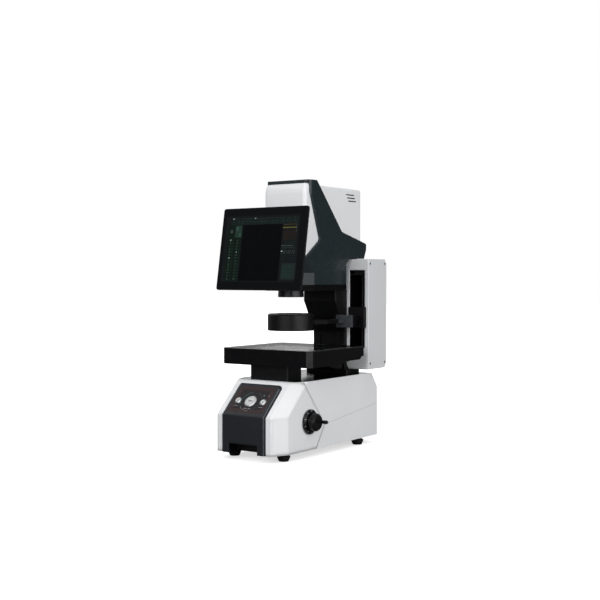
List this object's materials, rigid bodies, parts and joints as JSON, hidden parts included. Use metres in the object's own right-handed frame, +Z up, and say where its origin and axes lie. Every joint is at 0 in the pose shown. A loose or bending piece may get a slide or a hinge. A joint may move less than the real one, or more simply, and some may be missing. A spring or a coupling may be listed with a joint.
{
  "type": "vision measuring machine",
  "caption": "Benchtop optical measuring machine: sloped base with handwheel, glass stage, column, ring light on a lift, overhead lens head and tilting screen.",
  "frame": {"origin": "on the floor, under the middle of the whole machine", "axes": "+Z up, +Y from the operator's side to the back, +X to the operator's right, where the handwheel is"},
  "size_m": [0.3314, 0.561, 0.806],
  "materials": {
    "white_cover": "fine textured white paint",
    "pale_plate": "satin light grey paint",
    "dark_shell": "dark slate moulded plastic",
    "fascia_dark": "dark grey moulded plastic",
    "membrane": "printed control film",
    "button_metal": "turned metal",
    "rubber": "moulded rubber",
    "bed_black": "black anodised",
    "sheet_black": "black powder coat",
    "cast_black": "black coated casting",
    "steel": "ground steel",
    "motor": "black motor housing",
    "clamp_grey": "dark grey anodised",
    "wheel_plastic": "moulded dark plastic",
    "stage_black": "black anodised",
    "plate_glass": "clear plate glass",
    "light_white": "diffusing plastic",
    "lens_black": "black anodised",
    "lens_glass": "coated optical glass",
    "screen_glass": "front glass over a display",
    "monitor_black": "black moulded plastic",
    "board_green": "circuit board",
    "supply_case": "bare sheet case"
  },
  "bodies": {
    "machine": {"base_front_cover": "white_cover", "base_rear_cover": "white_cover", "base_lower_cover": "white_cover", "front_fascia": "fascia_dark", "control_membrane": "membrane", "button_bezels": "button_metal", "bottom_plate": "sheet_black", "levelling_feet": "rubber", "machine_bed": "bed_black", "power_supply": "supply_case", "control_board": "board_green", "power_inlet": "monitor_black", "drive_bearings": "steel", "lift_housing": "sheet_black", "column_foot": "cast_black", "column": "cast_black", "linear_rails": "steel", "cap_screws": "steel", "head_plate": "sheet_black", "head_spine": "cast_black", "head_shell": "dark_shell", "head_front_cover": "white_cover", "head_rear_cover": "white_cover", "lens_barrel": "lens_black", "lens_front_glass": "lens_glass", "camera": "motor", "box_cover": "white_cover", "box_side_plate": "pale_plate", "ring_motor": "motor", "monitor_bracket": "sheet_black", "monitor_pin": "steel"},
    "left_button": {"left_button": "button_metal"},
    "start_button": {"start_button": "button_metal"},
    "right_button": {"right_button": "button_metal"},
    "power_rocker": {"power_rocker": "wheel_plastic"},
    "handwheel": {"handwheel": "wheel_plastic", "handwheel_shaft": "steel"},
    "crank_grip": {"crank_grip": "wheel_plastic"},
    "lift_screw": {"lift_screw": "steel"},
    "stage_lift": {"lift_sleeve": "cast_black", "stage_knee": "cast_black", "stage_base_plate": "cast_black", "depth_rails": "steel", "depth_motor": "motor", "back_light": "light_white"},
    "depth_screw": {"depth_screw": "steel"},
    "stage_saddle": {"stage_saddle": "cast_black", "width_rails": "steel", "width_motor": "motor"},
    "width_screw": {"width_screw": "steel"},
    "stage_table": {"stage_frame": "stage_black", "stage_glass": "plate_glass"},
    "ring_unit": {"ring_carriage": "sheet_black", "ring_clamp_block": "clamp_grey", "ring_arm": "sheet_black", "ring_light": "sheet_black", "ring_diffuser": "light_white"},
    "ring_screw": {"ring_screw": "steel"},
    "monitor": {"monitor_glass": "screen_glass", "monitor_housing": "monitor_black"}
  },
  "joints": [
    {"name": "left_button_press", "type": "slide", "parent": "machine", "child": "left_button", "axis": [0, 0.6919, -0.722], "range_m": [0, 0.0015], "stiffness_N_per_m": 500, "springref_m": -0.003},
    {"name": "start_button_press", "type": "slide", "parent": "machine", "child": "start_button", "axis": [0, 0.6919, -0.722], "range_m": [0, 0.0015], "stiffness_N_per_m": 700, "springref_m": -0.004},
    {"name": "right_button_press", "type": "slide", "parent": "machine", "child": "right_button", "axis": [0, 0.6919, -0.722], "range_m": [0, 0.0015], "stiffness_N_per_m": 500, "springref_m": -0.003},
    {"name": "rocker_tilt", "type": "hinge", "parent": "machine", "child": "power_rocker", "pos_m": [0.04725, 0.2595, 0.0845], "axis": [1, 0, 0], "range_deg": [0, 16]},
    {"name": "stage_lift_slide", "type": "slide", "parent": "machine", "child": "stage_lift", "axis": [0, 0, 1], "range_m": [0, 0.04]},
    {"name": "handwheel_spin", "type": "hinge", "parent": "machine", "child": "handwheel", "pos_m": [0.11325, -0.121, 0.1045], "axis": [1, 0, 0], "range_deg": [0, 1441]},
    {"name": "crank_grip_spin", "type": "hinge", "parent": "handwheel", "child": "crank_grip", "pos_m": [0.14575, -0.104, 0.1045], "axis": [1, 0, 0], "continuous": true},
    {"name": "lift_screw_spin", "type": "hinge", "parent": "machine", "child": "lift_screw", "pos_m": [-0.00475, -0.121, 0.134], "axis": [0, 0, 1], "range_deg": [-1441, 0]},
    {"name": "depth_slide", "type": "slide", "parent": "stage_lift", "child": "stage_saddle", "axis": [0, 1, 0], "range_m": [-0.025, 0.025]},
    {"name": "depth_screw_spin", "type": "hinge", "parent": "stage_lift", "child": "depth_screw", "pos_m": [-0.00475, 0.0515, 0.252], "axis": [0, 1, 0], "range_deg": [-1801, 1801]},
    {"name": "width_slide", "type": "slide", "parent": "stage_saddle", "child": "stage_table", "axis": [1, 0, 0], "range_m": [-0.05, 0.05]},
    {"name": "width_screw_spin", "type": "hinge", "parent": "stage_saddle", "child": "width_screw", "pos_m": [-0.00475, 0.0515, 0.2922], "axis": [1, 0, 0], "range_deg": [-3601, 3601]},
    {"name": "ring_slide", "type": "slide", "parent": "machine", "child": "ring_unit", "axis": [0, 0, 1], "range_m": [-0.04, 0.055]},
    {"name": "ring_screw_spin", "type": "hinge", "parent": "machine", "child": "ring_screw", "pos_m": [0.093, 0.2055, 0.234], "axis": [0, 0, 1], "range_deg": [-3961, 2881]},
    {"name": "monitor_tilt", "type": "hinge", "parent": "machine", "child": "monitor", "pos_m": [-0.00475, -0.14314, 0.61208], "axis": [1, 0, 0], "range_deg": [-10, 15]}
  ],
  "couplings": [
    {"joint": "handwheel_spin", "follows": "stage_lift_slide", "rad_per_m": 628.32},
    {"joint": "lift_screw_spin", "follows": "stage_lift_slide", "rad_per_m": -628.32},
    {"joint": "depth_screw_spin", "follows": "depth_slide", "rad_per_m": -1256.6},
    {"joint": "width_screw_spin", "follows": "width_slide", "rad_per_m": -1256.6},
    {"joint": "ring_screw_spin", "follows": "ring_slide", "rad_per_m": -1256.6}
  ]
}
